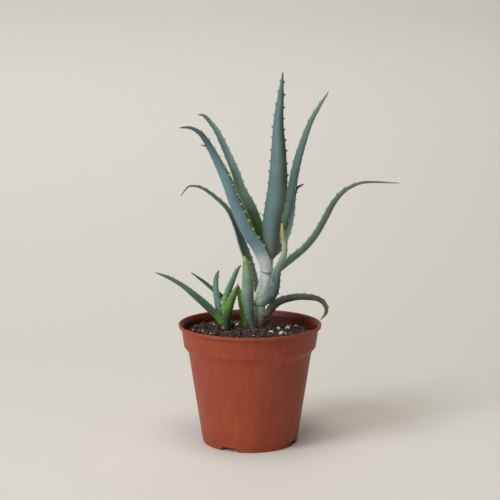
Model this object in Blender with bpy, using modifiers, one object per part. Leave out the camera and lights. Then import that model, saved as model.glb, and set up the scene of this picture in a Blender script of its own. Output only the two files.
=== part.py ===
"""A branching aloe in a round plastic nursery pot, with its soil, stem, offset and leaves.

Metres, +Z up. The pot stands on z = 0 and the view from -Y is the front. The plant spreads
further to the right than to the left, so the pot's axis stands left of the origin, which is
under the middle of the whole thing.
"""
import math
import random

import bmesh
import bpy
import numpy as np
from mathutils import Vector

MM = 0.001

# ---- pot: driving sizes --------------------------------------------------------------------
RIM_RADIUS = 0.065          # outside of the rolled lip
POT_HEIGHT = 0.109
BASE_RADIUS = 0.0441        # wall's outside at the floor the pot stands on
WALL = 0.0014
LIP_HEIGHT = 0.0030
LIP_PROUD = 0.0026          # lip beyond the band under it
LIP_EDGE = 0.0013           # width of the lip's top edge, which its inner face flares out to
BAND_HEIGHT = 0.0180        # plain band between the lip and the shoulder
BAND_TAPER = 0.0024         # band's loss of radius from top to bottom
SHOULDER_HEIGHT = 0.0046
SHOULDER_DEPTH = 0.0039     # how far the wall steps in under the band
FOOT_HEIGHT = 0.0042
FOOT_STEP = 0.0005          # foot ring's step in from the wall
FLOOR_RISE = 0.0062         # underside of the pot's floor above the ground
FLOOR_FILLET = 0.0010       # inside, where the floor meets the wall
EDGE = 0.0004               # softening of the pot's small outer edges
FOOT_THICKNESS = 0.0024
NOTCH_COUNT = 4
NOTCH_ANGLE = 22.0          # degrees of the foot ring that a notch takes
NOTCH_HEIGHT = 0.0036
NOTCH_SLOPE = 0.8           # how far a notch's ends lean in, share of its height
NOTCH_FIRST = -26.0         # degrees from the front, towards the right
DRAIN_COUNT = 6
DRAIN_RADIUS = 0.0042
DRAIN_RING = 0.62           # ring of drain holes, share of the floor's inner radius
DRAIN_FIRST = 13.0          # degrees from the back, clockwise from above
DRAIN_STEPS = 16
ROUND_STEPS = 64

# ---- soil ----------------------------------------------------------------------------------
SOIL_BELOW_RIM = 0.0085     # middle level of the surface
SOIL_MOUND = 0.0035         # rise around the plants
MOUND_PLACE = (0.10, 0.15)  # its top, right and back of the pot's axis, share of the radius
MOUND_SPREAD = 0.45         # its reach, share of the radius
MOUND_MEAN = 0.35           # share of the mound that stands above the middle level
SOIL_TILT = 0.0016          # lower at the back right
SOIL_LUMPS = 0.00066
SHORT_LUMPS = (0.0047, 0.0053)
LONG_LUMPS = (0.0081, 0.0067)
SOIL_RINGS = 9
SOIL_STEPS = 40
CLEARANCE = 0.0003          # gap between any two pieces that touch

# ---- plant ---------------------------------------------------------------------------------
STEM_RADIUS = 0.0057
STEM_HEIGHT = 0.074         # from the soil's middle level to the crown
STEM_BURIED = 0.012
STEM_RINGS = 18
OFFSET_RADIUS = 0.0036
OFFSET_HEIGHT = 0.014
LEAF_BACK = 0.44            # depth of a leaf's round back, share of its width
LEAF_CHANNEL = 0.13         # depth of the channel along its face, share of its width
LEAF_RINGS = 18
OFFSET_LEAF_RINGS = 11
BACK_STEPS = 6              # facets across the back
FACE_STEPS = 4              # facets across the channel
RIM_OVERHANG = 0.0080       # drooping leaf's bend beyond the pot's lip

SOIL_LEVEL = POT_HEIGHT - SOIL_BELOW_RIM
BAND_RADIUS = RIM_RADIUS - LIP_PROUD
BAND_TOP = POT_HEIGHT - LIP_HEIGHT
BAND_BOTTOM = BAND_TOP - BAND_HEIGHT
WALL_TOP = BAND_BOTTOM - SHOULDER_HEIGHT
WALL_RADIUS = BAND_RADIUS - BAND_TAPER - SHOULDER_DEPTH
FLOOR_TOP = FLOOR_RISE + WALL

# The main stem leans right and stands behind the pot's axis. Each point is x, y and the
# share of the stem's height.
MAIN_STEM = [(9, 14, 0.0), (9, 14, 0.28), (11, 14, 0.46), (14, 14, 0.62), (16, 14, 0.84), (18, 14, 1.0)]
OFFSET_STEM = [(-22, 8, 0.0), (-22, 8, 0.5), (-22, 8, 1.0)]

# The stems' girth: a share of the height, and the radius there as a share of the stem's own.
# The main stem stands on a thin foot and is thickest below its middle.
MAIN_GIRTH = [(0.0, 0.41), (0.06, 0.57), (0.14, 0.79), (0.25, 0.93), (0.38, 1.03), (0.47, 1.07),
              (0.52, 0.99), (0.74, 1.0), (0.88, 0.91), (1.0, 0.70)]
OFFSET_GIRTH = [(0.0, 1.0), (0.8, 1.0), (1.0, 0.7)]

# Leaves of the main stem, innermost first, since an outer leaf clasps what is inside it.
# A leaf springs from a node at a share of the stem's height. Its points are millimetres from
# that node (right, back, up) with the leaf's width there; the face is where its channelled
# side looks at the base.
MAIN_LEAVES = [
    ("leaf_upper_right", 0.95, (-0.7, -0.7, 0.0), [
        (2.5, 2.5, -1, 8), (6.5, 6, 9, 9), (13, 8, 26, 10), (18.5, 10, 48, 10), (24, 11.5, 77, 9.4),
        (29.5, 12.5, 97, 7.8), (37.5, 14, 119, 5.8), (46, 15, 134, 3.8), (54.5, 16, 147, 0.8)]),
    ("leaf_back_right", 0.93, (-0.3, -1.0, 0.1), [
        (3.5, 4.5, -1, 6), (10, 8, 7, 8.5), (16, 11, 21, 9.5), (19.5, 13, 38, 9.2), (22, 14, 53, 6.4),
        (26, 15, 60, 3), (33, 16, 64, 0.8)]),
    ("leaf_back_left", 0.90, (0.6, -0.8, 0.2), [
        (-1.5, 4, -3, 7), (-5, 6.5, 5, 8.5), (-17, 14, 28, 9.8), (-31.5, 22, 60, 8),
        (-44.5, 27, 85, 6), (-54, 30, 98, 3.6), (-63, 32, 101, 0.8)]),
    ("leaf_upright_front", 0.93, (0.1, 1.0, 0.0), [
        (0.5, -3.5, -1, 10), (1.5, -5.5, 5, 13.5), (2, -9, 18, 15.4), (3.2, -11, 35, 17),
        (7.4, -13, 61, 17.8), (8.4, -14, 89, 14.4), (8.2, -14, 121, 9.2), (10, -13, 143, 5.8),
        (12, -11, 166, 0.9)]),
    ("leaf_channelled_left", 0.90, (0.55, -0.85, 0.1), [
        (1, 3.5, -3, 7), (1.5, 5.5, 7, 10), (-6, 8, 20.5, 11.5), (-16, 13, 45, 11.2),
        (-24.8, 16, 61.5, 10), (-31.3, 19, 80, 8.4), (-45.5, 25, 111, 6), (-52, 27, 120.5, 4.8),
        (-59, 29, 128, 3.6), (-65.5, 30, 129, 0.8)]),
    ("leaf_front_left", 0.80, (0.45, 0.85, 0.3), [
        (-0.5, -3.5, -4.5, 11.8), (-0.5, -5, 0, 12.2), (-3, -8.5, 8, 13), (-8, -12, 19, 13.3),
        (-18, -18, 35, 12.6), (-27, -23, 55, 11.6), (-35, -28, 77, 10), (-43.5, -31, 97, 8.6),
        (-53.5, -34, 115.5, 6.2), (-60, -36, 123.5, 5), (-68, -38, 127.5, 3.4), (-77, -40, 127.5, 1.4)]),
    ("leaf_arching_right", 0.68, (-0.55, 0.8, 0.35), [
        (4, -2.5, 0, 7.4), (8.5, -4.5, 5, 8.4), (14, -6, 9.5, 8.8), (23.5, -10, 18, 8.5),
        (34.5, -14, 28, 7.9), (43.5, -18, 39.5, 7.5), (51.5, -21, 54, 7), (59, -25, 69, 6.2),
        (68.5, -28, 80.5, 5), (81, -33, 87.5, 3.7), (93.5, -36, 89, 2.8), (116, -44, 88.5, 0.8)]),
    ("leaf_curled_left", 0.48, (0.75, -0.65, 0.1), [
        (-4, 1, 0, 8), (-7, 3, 9, 10), (-12, 5, 26, 11), (-18, 7, 43, 10), (-24, 9, 60, 7.6),
        (-32, 11, 75, 5.6), (-45, 13, 87, 4.4), (-55, 14, 93.5, 3.5), (-63, 15, 95.5, 2.8),
        (-69, 16, 94, 2.1), (-76, 17, 85, 0.8)]),
    ("leaf_sweeping_front", 0.30, (0.3, 0.9, 0.3), [
        (-4, -3, 1, 6), (-2.5, -5.5, 3.5, 8), (1.5, -7.5, 5, 9.8), (6.5, -9, 8, 10.6),
        (11, -10.5, 13, 10.4), (13.5, -12, 20.5, 8.8), (14.7, -13, 28, 7.2), (16.2, -14, 35.5, 6.2),
        (19, -16, 43, 5.6), (21.5, -18, 50.5, 5.2), (21.8, -20, 58, 4.9), (20.3, -21, 66, 4.5),
        (19, -22, 79, 0.8)]),
    ("leaf_low_front", 0.0, (0.2, 1.0, 0.1), [
        (-4.5, -7, -3, 4), (-8.2, -9, 12, 7.4), (-11, -11, 30, 11.2), (-11, -13, 45, 10.4),
        (-11.5, -14, 57, 8.2), (-13, -14, 65, 5.4), (-14.5, -14, 70.5, 0.8)]),
]

# The low leaf that runs right over the pot's lip and hangs down outside it. The first number
# is the share of the way from its node to the bend beyond the lip; then come millimetres
# towards the back and above the lip, and the width.
DROOPING_NODE = 0.16
DROOPING_FACE = (-0.1, 0.55, 0.85)
DROOPING_BEND = 9           # millimetres behind the node where the leaf bends down
DROOPING_LEAF = [
    (0.06, 0, 4, 7.5), (0.13, 0, 8.7, 9.5), (0.22, 0, 15.2, 10.2), (0.345, 1, 19.2, 9.6),
    (0.57, 3, 21.6, 8.4), (0.755, 4.5, 21, 7.6), (0.89, 6.5, 18.7, 6.2), (0.985, 8, 14.5, 5),
    (1.03, 9, 8.3, 3.9), (1.01, 9.3, 3.3, 2.9), (0.935, 9, -2.2, 0.8)]

# The offset's leaves, in the form of the main stem's.
OFFSET_LEAVES = [
    ("offset_leaf_inner", 0.8, (0.3, -0.9, 0.2), [
        (1, 2, 2, 6), (-2.5, 5, 17, 4.8), (-9, 6.5, 23, 4), (-20.5, 8.5, 32.5, 3),
        (-32.5, 10, 41, 0.8)]),
    ("offset_leaf_back_left", 0.6, (0.4, 0.7, 0.2), [
        (-3, 0, 0, 6), (-6, 1, 10, 7), (-9, 3.5, 27, 6), (-9, 4.5, 37, 5), (-8, 5, 42.5, 3.6),
        (-6, 5, 47, 0.8)]),
    ("offset_leaf_right", 0.55, (-0.6, 0.6, 0.2), [
        (1.5, -2, 0, 6), (-1, -2, 15, 8), (0.8, -1, 26, 7.8), (5.8, -1, 39, 6.2), (10, 0, 48, 4.4),
        (14, 0, 53.5, 0.8)]),
    ("offset_leaf_long_left", 0.4, (0.35, 0.75, 0.5), [
        (-3, -1, 1, 6.6), (-8, -2, 8.5, 8), (-17, -5, 18.5, 8.6), (-28, -8, 29, 7.6),
        (-39.5, -10, 38.5, 5.5), (-52, -12, 46, 4), (-64, -13, 50.5, 0.9)]),
    ("offset_leaf_front", 0.2, (-0.2, 0.9, 0.1), [
        (0.5, -2.8, -1, 5.5), (1.7, -7, 14.5, 7.8), (4.7, -8, 26, 7.2), (8.8, -9, 35.7, 5),
        (11.4, -9, 41, 0.9)]),
]

# Leaves that spring from the soil, from a point at its middle level.
SOIL_LEAVES = [
    ("offset_leaf_rear", (-5, 18), (0.2, -1.0, 0.1), [
        (0, 0, -4, 4.5), (-1, 0, 12, 5.8), (-3.2, 0, 25, 5.6), (-4.8, 0, 34, 4.4), (-6.7, -1, 42, 0.8)]),
]

# White perlite lumps on the soil: shares of the soil's radius right and back of the pot's
# axis, and the lump's radius in millimetres.
PERLITE = [(0.438, 0.198, 2.2), (0.579, 0.281, 3.1), (0.480, -0.099, 3.0), (0.331, -0.083, 2.0),
           (0.719, 0.604, 2.4), (0.843, 0.413, 1.8), (-0.198, 0.579, 2.2), (0.050, -0.364, 2.0)]
PERLITE_SUNK = 0.45         # share of a lump's radius below the soil's surface
LUMP_ROUGHNESS = 0.16
LUMP_FLATNESS = 0.8         # height of a lump, share of its width

WELD = 0.00001              # points closer than this are one


# ---- scene helpers -------------------------------------------------------------------------
def clear_scene():
    for item in list(bpy.data.objects):
        bpy.data.objects.remove(item, do_unlink=True)


def new_collection(name):
    group = bpy.data.collections.new(name)
    bpy.context.scene.collection.children.link(group)
    return group


def material(name, colour, roughness, metallic=0.0):
    """A plain Principled material."""
    made = bpy.data.materials.new(name)
    made.use_nodes = True
    shader = made.node_tree.nodes["Principled BSDF"]
    shader.inputs["Base Color"].default_value = (*colour, 1.0)
    shader.inputs["Roughness"].default_value = roughness
    shader.inputs["Metallic"].default_value = metallic
    return made


def add_object(name, mesh, group, axis, surface=None):
    """Links a mesh as an object under the pot's axis."""
    made = bpy.data.objects.new(name, mesh)
    group.objects.link(made)
    made.parent = axis
    if surface is not None:
        mesh.materials.append(surface)
        mesh.shade_smooth()
        mesh.set_sharp_from_angle(angle=math.radians(40))
    return made


def add_cutter(name, mesh, group, axis):
    made = add_object(name, mesh, group, axis)
    made.hide_render = True
    made.display_type = "WIRE"
    return made


def cut(target, cutter):
    difference = target.modifiers.new("cut_" + cutter.name, "BOOLEAN")
    difference.operation = "DIFFERENCE"
    difference.solver = "EXACT"
    difference.object = cutter


def bridge(bm, low, high):
    """Triangles between two closed rings, always split along the same diagonal."""
    for j in range(len(low)):
        k = (j + 1) % len(low)
        bm.faces.new((low[j], low[k], high[k]))
        bm.faces.new((low[j], high[k], high[j]))


def mesh_from(name, bm):
    bmesh.ops.recalc_face_normals(bm, faces=bm.faces)
    mesh = bpy.data.meshes.new(name)
    bm.to_mesh(mesh)
    bm.free()
    return mesh


# ---- curves --------------------------------------------------------------------------------
def spline_point(before, start, end, after, share):
    """A point on the Catmull-Rom curve between start and end."""
    return 0.5 * (2 * start + (end - before) * share
                  + (2 * before - 5 * start + 4 * end - after) * share ** 2
                  + (3 * start - before - 3 * end + after) * share ** 3)


def smooth_path(knots, count):
    """Evenly spaced points on one smooth curve through the knots."""
    fine = 12
    ends = [2 * knots[0] - knots[1]] + knots + [2 * knots[-1] - knots[-2]]
    dense = [knots[0]]
    for i in range(1, len(knots)):
        dense += [spline_point(*ends[i - 1:i + 3], j / fine) for j in range(1, fine + 1)]
    lengths = [0.0]
    for a, b in zip(dense, dense[1:]):
        lengths.append(lengths[-1] + (b.xyz - a.xyz).length)
    path = []
    for k in range(count):
        target = lengths[-1] * k / (count - 1)
        i = min(max(1, int(np.searchsorted(lengths, target))), len(dense) - 1)
        share = (target - lengths[i - 1]) / (lengths[i] - lengths[i - 1])
        path.append(dense[i - 1].lerp(dense[i], share))
    return path


def stem_knots(points, height):
    """The stem's line, from the buried foot to the crown."""
    foot = Vector((points[0][0] * MM, points[0][1] * MM, SOIL_LEVEL - STEM_BURIED))
    line = [Vector((x * MM, y * MM, SOIL_LEVEL + share * height)) for x, y, share in points]
    return [foot] + line


def stem_node(points, height, share):
    """The point on the stem's line at a share of its height."""
    x, y = (float(np.interp(share, [p[2] for p in points], [p[i] for p in points])) for i in (0, 1))
    return Vector((x * MM, y * MM, SOIL_LEVEL + share * height))


# ---- stems ---------------------------------------------------------------------------------
def tube_mesh(name, line, radii):
    """A round tube with closed ends, as a welded mesh."""
    curve = bpy.data.curves.new(name + "_curve", "CURVE")
    curve.dimensions = "3D"
    curve.bevel_depth = 1.0
    curve.bevel_resolution = 2
    curve.use_fill_caps = True
    spline = curve.splines.new("POLY")
    spline.points.add(len(line) - 1)
    for point, place, radius in zip(spline.points, line, radii):
        point.co = (*place, 1.0)
        point.radius = radius
    holder = bpy.data.objects.new(name + "_curve", curve)
    bpy.context.scene.collection.objects.link(holder)
    evaluated = holder.evaluated_get(bpy.context.evaluated_depsgraph_get())
    mesh = bpy.data.meshes.new_from_object(evaluated)
    bpy.data.objects.remove(holder, do_unlink=True)
    bm = bmesh.new()
    bm.from_mesh(mesh)
    bmesh.ops.remove_doubles(bm, verts=bm.verts, dist=WELD)
    bpy.data.meshes.remove(mesh)
    return mesh_from(name, bm)


def stem_meshes(name, points, height, radius, girth):
    """The stem, and the stem with its clearance all round, which cuts what meets it."""
    knots = [Vector((*knot, 0.0)) for knot in stem_knots(points, height)]
    line = [spot.xyz for spot in smooth_path(knots, STEM_RINGS)]
    radii = [radius * float(np.interp((spot.z - SOIL_LEVEL) / height, *zip(*girth))) for spot in line]
    stem = tube_mesh(name, line, radii)
    gap = Vector((0, 0, CLEARANCE))
    longer = [line[0] - gap] + line[1:-1] + [line[-1] + gap]
    sleeve = tube_mesh(name + "_sleeve", longer, [r + CLEARANCE for r in radii])
    return stem, sleeve


# ---- leaves --------------------------------------------------------------------------------
def leaf_section(width, grow):
    """Points across a leaf: a round back and a shallow channel, margin to margin."""
    half = width / 2 + grow
    back = width * LEAF_BACK + grow * 2
    ring = []
    for i in range(BACK_STEPS + 1):
        turn = math.pi * i / BACK_STEPS
        ring.append((half * math.cos(turn), grow - back * math.sin(turn)))
    for i in range(1, FACE_STEPS):
        across = -1 + 2 * i / FACE_STEPS
        ring.append((half * across, grow - width * LEAF_CHANNEL * (1 - across ** 2)))
    return ring


def leaf_mesh(name, knots, face, rings, grow=0.0):
    """A loft along the leaf's line, from a flat base to a point; grow swells it all over."""
    path = smooth_path(knots, rings)
    bm = bmesh.new()
    normal = Vector(face)
    last = None
    for i, spot in enumerate(path[:-1]):
        before = path[max(0, i - 1)]
        along = (path[i + 1].xyz - before.xyz).normalized()
        normal = (normal - along * normal.dot(along)).normalized()
        side = along.cross(normal)
        centre = spot.xyz - along * grow if i == 0 else spot.xyz
        ring = [bm.verts.new(centre + side * a + normal * b) for a, b in leaf_section(spot.w, grow)]
        if last:
            bridge(bm, last, ring)
        else:
            bm.faces.new(ring)
        last = ring
    tip = bm.verts.new(path[-1].xyz + along * grow)
    for j in range(len(last)):
        bm.faces.new((last[j], last[(j + 1) % len(last)], tip))
    return mesh_from(name, bm)


def leaf_knots(origin, points):
    """Knots from millimetres, each with the leaf's width as its fourth number."""
    return [Vector((*(origin + Vector((x, y, z)) * MM), width * MM)) for x, y, z, width in points]


def drooping_leaf_knots():
    """Knots of the leaf that hangs over the lip, wherever the lip is."""
    origin = stem_node(MAIN_STEM, STEM_HEIGHT, DROOPING_NODE)
    back = origin.y + DROOPING_BEND * MM
    bend = math.sqrt((RIM_RADIUS + RIM_OVERHANG) ** 2 - back ** 2) - origin.x
    knots = []
    for share, y, z, width in DROOPING_LEAF:
        place = (origin.x + bend * share, origin.y + y * MM, POT_HEIGHT + z * MM)
        knots.append(Vector((*place, width * MM)))
    return knots


def boxes_meet(one, other):
    """Whether two meshes' boxes overlap, so that one may need cutting round the other."""
    spans = []
    for mesh in (one, other):
        spots = [v.co for v in mesh.vertices]
        spans.append([(min(s[i] for s in spots), max(s[i] for s in spots)) for i in range(3)])
    return all(a[0] < b[1] and b[0] < a[1] for a, b in zip(*spans))


def add_leaves(plan, rings, sleeves, parts, cutters, axis, surface):
    """Leaves from the inside out, each cut round the stem and the leaves it clasps."""
    for name, knots, face in plan:
        mesh = leaf_mesh(name, knots, face, rings)
        leaf = add_object(name, mesh, parts, axis, surface)
        for sleeve in sleeves:
            if boxes_meet(mesh, sleeve.data):
                cut(leaf, sleeve)
        grown = leaf_mesh(name + "_sleeve", knots, face, rings, CLEARANCE)
        sleeves.append(add_cutter(name + "_sleeve", grown, cutters, axis))


# ---- soil and perlite ----------------------------------------------------------------------
def soil_height(x, y):
    """The soil's surface over the pot: a low mound round the plants, a tilt and small lumps."""
    right, back = (share * BAND_RADIUS for share in MOUND_PLACE)
    around = math.exp(-((x - right) ** 2 + (y - back) ** 2) / (MOUND_SPREAD * BAND_RADIUS) ** 2)
    tilt = (x + y) / BAND_RADIUS
    short = math.sin(x / SHORT_LUMPS[0] + 1.0) * math.cos(y / SHORT_LUMPS[1])
    long = math.sin(x / LONG_LUMPS[0] - y / LONG_LUMPS[1])
    mound = SOIL_MOUND * (around - MOUND_MEAN)
    return SOIL_LEVEL + mound - SOIL_TILT * tilt + SOIL_LUMPS * (short + 0.6 * long)


def inner_radius(z):
    """The pot's inner face at a height, which the soil fits."""
    if z >= BAND_BOTTOM:
        return BAND_RADIUS - BAND_TAPER * (BAND_TOP - z) / BAND_HEIGHT - WALL
    if z >= WALL_TOP:
        share = (z - WALL_TOP) / SHOULDER_HEIGHT
        return WALL_RADIUS + share * SHOULDER_DEPTH - WALL
    return BASE_RADIUS + (WALL_RADIUS - BASE_RADIUS) * z / WALL_TOP - WALL


def turns():
    """The soil's angles round the pot's axis."""
    return [2 * math.pi * j / SOIL_STEPS for j in range(SOIL_STEPS)]


def soil_mesh():
    """The root ball: the pot's inside with its clearance, under an uneven surface."""
    bm = bmesh.new()
    rings = []
    floor = FLOOR_TOP + CLEARANCE
    for z, inset in ((floor, FLOOR_FILLET), (floor + FLOOR_FILLET, 0), (WALL_TOP, 0), (BAND_BOTTOM, 0)):
        radius = inner_radius(z) - inset - CLEARANCE
        rings.append([bm.verts.new((radius * math.sin(t), -radius * math.cos(t), z)) for t in turns()])
    for i in range(SOIL_RINGS):
        share = 1 - i / SOIL_RINGS
        ring = []
        for t in turns():
            x = math.sin(t)
            y = -math.cos(t)
            edge = inner_radius(soil_height(x * BAND_RADIUS, y * BAND_RADIUS)) - CLEARANCE
            height = soil_height(x * edge * share, y * edge * share)
            ring.append(bm.verts.new((x * edge * share, y * edge * share, height)))
        rings.append(ring)
    centre = bm.verts.new((0, 0, soil_height(0, 0)))
    bm.faces.new(rings[0])
    for low, high in zip(rings, rings[1:]):
        bridge(bm, low, high)
    for j in range(SOIL_STEPS):
        bm.faces.new((rings[-1][j], rings[-1][(j + 1) % SOIL_STEPS], centre))
    return mesh_from("soil", bm)


def perlite_mesh(name, place, radius, seed, grow=0.0):
    """A rough popped grain: a dented low sphere, a little flattened."""
    dice = random.Random(seed)
    bm = bmesh.new()
    bmesh.ops.create_icosphere(bm, subdivisions=2, radius=1.0)
    for vert in bm.verts:
        dent = 1 + LUMP_ROUGHNESS * dice.uniform(-1, 1)
        spot = vert.co.normalized() * (radius * dent + grow)
        vert.co = place + Vector((spot.x, spot.y, spot.z * LUMP_FLATNESS))
    return mesh_from(name, bm)


# ---- pot -----------------------------------------------------------------------------------
def pot_profile():
    """The pot's wall from the inner floor, over the lip and down the outside to the recess."""
    band_foot = BAND_RADIUS - BAND_TAPER
    foot = BASE_RADIUS - FOOT_STEP
    floor_edge = inner_radius(FLOOR_TOP)
    return [
        (0.0, FLOOR_TOP),
        (floor_edge - FLOOR_FILLET, FLOOR_TOP),
        (floor_edge, FLOOR_TOP + FLOOR_FILLET),
        (WALL_RADIUS - WALL, WALL_TOP),
        (band_foot - WALL, BAND_BOTTOM),
        (BAND_RADIUS - WALL, BAND_TOP - EDGE),
        (RIM_RADIUS - LIP_EDGE, POT_HEIGHT - EDGE),
        (RIM_RADIUS - LIP_EDGE + EDGE, POT_HEIGHT),
        (RIM_RADIUS - EDGE, POT_HEIGHT),
        (RIM_RADIUS, POT_HEIGHT - EDGE),
        (RIM_RADIUS - EDGE / 2, BAND_TOP + EDGE),
        (RIM_RADIUS - EDGE * 2, BAND_TOP),
        (BAND_RADIUS, BAND_TOP - EDGE),
        (band_foot + EDGE / 2, BAND_BOTTOM + EDGE * 2),
        (band_foot - EDGE, BAND_BOTTOM),
        (WALL_RADIUS + EDGE, WALL_TOP + EDGE),
        (WALL_RADIUS - EDGE / 2, WALL_TOP - EDGE * 3),
        (BASE_RADIUS, FOOT_HEIGHT),
        (foot, FOOT_HEIGHT - EDGE),
        (foot - EDGE / 2, EDGE),
        (foot - EDGE * 2, 0.0),
        (foot - FOOT_THICKNESS, 0.0),
        (foot - FOOT_THICKNESS - EDGE, FLOOR_RISE),
        (0.0, FLOOR_RISE),
    ]


def pot_mesh_object(parts, axis, surface):
    mesh = bpy.data.meshes.new("pot")
    profile = [(x, 0.0, z) for x, z in pot_profile()]
    mesh.from_pydata(profile, [(i, i + 1) for i in range(len(profile) - 1)], [])
    pot = add_object("pot", mesh, parts, axis, surface)
    turned = pot.modifiers.new("turn", "SCREW")
    turned.axis = "Z"
    turned.angle = 2 * math.pi
    turned.steps = ROUND_STEPS
    turned.render_steps = ROUND_STEPS
    turned.use_merge_vertices = True
    turned.merge_threshold = WELD
    turned.use_smooth_shade = True
    return pot


def notch_cutter(number, cutters, axis):
    """A wedge with sloped ends that opens the foot ring at one side."""
    centre = math.radians(NOTCH_FIRST + number * 360 / NOTCH_COUNT)
    out = Vector((math.sin(centre), -math.cos(centre), 0))
    across = Vector((math.cos(centre), math.sin(centre), 0))
    spare = 0.001
    half_low = math.radians(NOTCH_ANGLE / 2) * BASE_RADIUS
    half_top = half_low - NOTCH_HEIGHT * NOTCH_SLOPE
    half_under = half_low + spare * NOTCH_SLOPE
    bm = bmesh.new()
    loops = []
    for reach in (BASE_RADIUS - FOOT_THICKNESS * 2.5, BASE_RADIUS + FOOT_THICKNESS):
        corners = [(-half_under, -spare), (half_under, -spare),
                   (half_top, NOTCH_HEIGHT), (-half_top, NOTCH_HEIGHT)]
        loops.append([bm.verts.new(out * reach + across * a + Vector((0, 0, z))) for a, z in corners])
    bm.faces.new(loops[0])
    bm.faces.new(loops[1])
    bridge(bm, loops[0], loops[1])
    return add_cutter("notch_%d" % number, mesh_from("notch_%d" % number, bm), cutters, axis)


def drain_cutter(number, cutters, axis):
    """A round hole through the floor; the last one is in the middle."""
    ring = DRAIN_RING * inner_radius(FLOOR_TOP) if number < DRAIN_COUNT else 0.0
    turn = math.radians(DRAIN_FIRST + 360 * number / DRAIN_COUNT)
    bm = bmesh.new()
    bmesh.ops.create_cone(bm, cap_ends=True, segments=DRAIN_STEPS, radius1=DRAIN_RADIUS,
                          radius2=DRAIN_RADIUS, depth=WALL * 4)
    mesh = mesh_from("drain_%d" % number, bm)
    cutter = add_cutter("drain_%d" % number, mesh, cutters, axis)
    cutter.location = (ring * math.sin(turn), ring * math.cos(turn), FLOOR_RISE + WALL / 2)
    cutter.rotation_euler.z = -turn / 2
    return cutter


# ---- the whole thing -----------------------------------------------------------------------
def main():
    clear_scene()
    parts = new_collection("potted_aloe")
    cutters = new_collection("cutters")

    plastic = material("terracotta_plastic", (0.30, 0.075, 0.042), 0.5)
    earth = material("potting_soil", (0.055, 0.035, 0.024), 0.95)
    pale_stem = material("aloe_stem", (0.52, 0.62, 0.50), 0.55)
    blue_leaf = material("aloe_leaf", (0.11, 0.19, 0.18), 0.45)
    green_leaf = material("aloe_offset_leaf", (0.12, 0.24, 0.10), 0.45)
    grain = material("perlite", (0.75, 0.74, 0.70), 0.9)

    main_plan = [("leaf_drooping_right", drooping_leaf_knots(), DROOPING_FACE)]
    for name, share, face, points in MAIN_LEAVES:
        main_plan.append((name, leaf_knots(stem_node(MAIN_STEM, STEM_HEIGHT, share), points), face))
    offset_plan = []
    for name, share, face, points in OFFSET_LEAVES:
        offset_plan.append((name, leaf_knots(stem_node(OFFSET_STEM, OFFSET_HEIGHT, share), points), face))
    for name, (x, y), face, points in SOIL_LEAVES:
        offset_plan.append((name, leaf_knots(Vector((x * MM, y * MM, SOIL_LEVEL)), points), face))

    tips = [knots[-1].x for _, knots, _ in main_plan + offset_plan]
    left = min(tips + [-RIM_RADIUS])
    right = max(tips + [RIM_RADIUS])
    axis = bpy.data.objects.new("pot_axis", None)
    parts.objects.link(axis)
    axis.location = (-(left + right) / 2, 0, 0)

    pot = pot_mesh_object(parts, axis, plastic)
    for number in range(NOTCH_COUNT):
        cut(pot, notch_cutter(number, cutters, axis))
    for number in range(DRAIN_COUNT + 1):
        cut(pot, drain_cutter(number, cutters, axis))

    soil = add_object("soil", soil_mesh(), parts, axis, earth)
    sleeves = []
    for name, *sizes in (("main_stem", MAIN_STEM, STEM_HEIGHT, STEM_RADIUS, MAIN_GIRTH),
                         ("offset_stem", OFFSET_STEM, OFFSET_HEIGHT, OFFSET_RADIUS, OFFSET_GIRTH)):
        stem, sleeve = stem_meshes(name, *sizes)
        add_object(name, stem, parts, axis, pale_stem)
        sleeves.append(add_cutter(name + "_sleeve", sleeve, cutters, axis))

    add_leaves(offset_plan, OFFSET_LEAF_RINGS, sleeves, parts, cutters, axis, green_leaf)
    add_leaves(main_plan, LEAF_RINGS, sleeves, parts, cutters, axis, blue_leaf)

    reach = inner_radius(SOIL_LEVEL)
    for number, (right, back, size) in enumerate(PERLITE):
        radius = size * MM
        x, y = right * reach, back * reach
        place = Vector((x, y, soil_height(x, y) + radius * (LUMP_FLATNESS - PERLITE_SUNK)))
        name = "perlite_%d" % (number + 1)
        add_object(name, perlite_mesh(name, place, radius, number), parts, axis, grain)
        grown = perlite_mesh(name + "_sleeve", place, radius, number, CLEARANCE)
        sleeves.append(add_cutter(name + "_sleeve", grown, cutters, axis))
    for sleeve in sleeves:
        if boxes_meet(soil.data, sleeve.data):
            cut(soil, sleeve)


main()
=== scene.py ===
"""The visual model of a branching aloe in a terracotta-coloured nursery pot.

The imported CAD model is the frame. Leaf and stem lines are the part's own, in millimetres from
the pot's axis. The front is seen from -Y.
"""
import math
import random

import bmesh
import bpy
import numpy as np
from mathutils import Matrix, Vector, noise


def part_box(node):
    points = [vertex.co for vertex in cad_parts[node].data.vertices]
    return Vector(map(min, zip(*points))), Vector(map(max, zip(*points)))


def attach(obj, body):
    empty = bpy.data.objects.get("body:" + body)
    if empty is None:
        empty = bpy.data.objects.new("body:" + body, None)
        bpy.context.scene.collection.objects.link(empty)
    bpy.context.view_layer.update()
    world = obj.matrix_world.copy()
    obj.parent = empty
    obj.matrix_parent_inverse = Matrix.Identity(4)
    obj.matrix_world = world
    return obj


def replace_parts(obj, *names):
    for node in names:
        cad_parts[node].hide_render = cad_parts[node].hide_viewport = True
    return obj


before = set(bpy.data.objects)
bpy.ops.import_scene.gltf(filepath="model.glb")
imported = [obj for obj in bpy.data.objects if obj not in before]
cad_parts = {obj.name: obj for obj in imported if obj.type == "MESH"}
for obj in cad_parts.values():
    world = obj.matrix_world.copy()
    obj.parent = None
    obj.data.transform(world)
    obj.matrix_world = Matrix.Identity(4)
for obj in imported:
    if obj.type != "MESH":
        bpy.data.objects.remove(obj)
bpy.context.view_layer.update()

MM = 0.001
POT_LOW, POT_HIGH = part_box("pot")
AXIS = Vector(((POT_LOW.x + POT_HIGH.x) / 2, (POT_LOW.y + POT_HIGH.y) / 2, 0.0))
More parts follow.
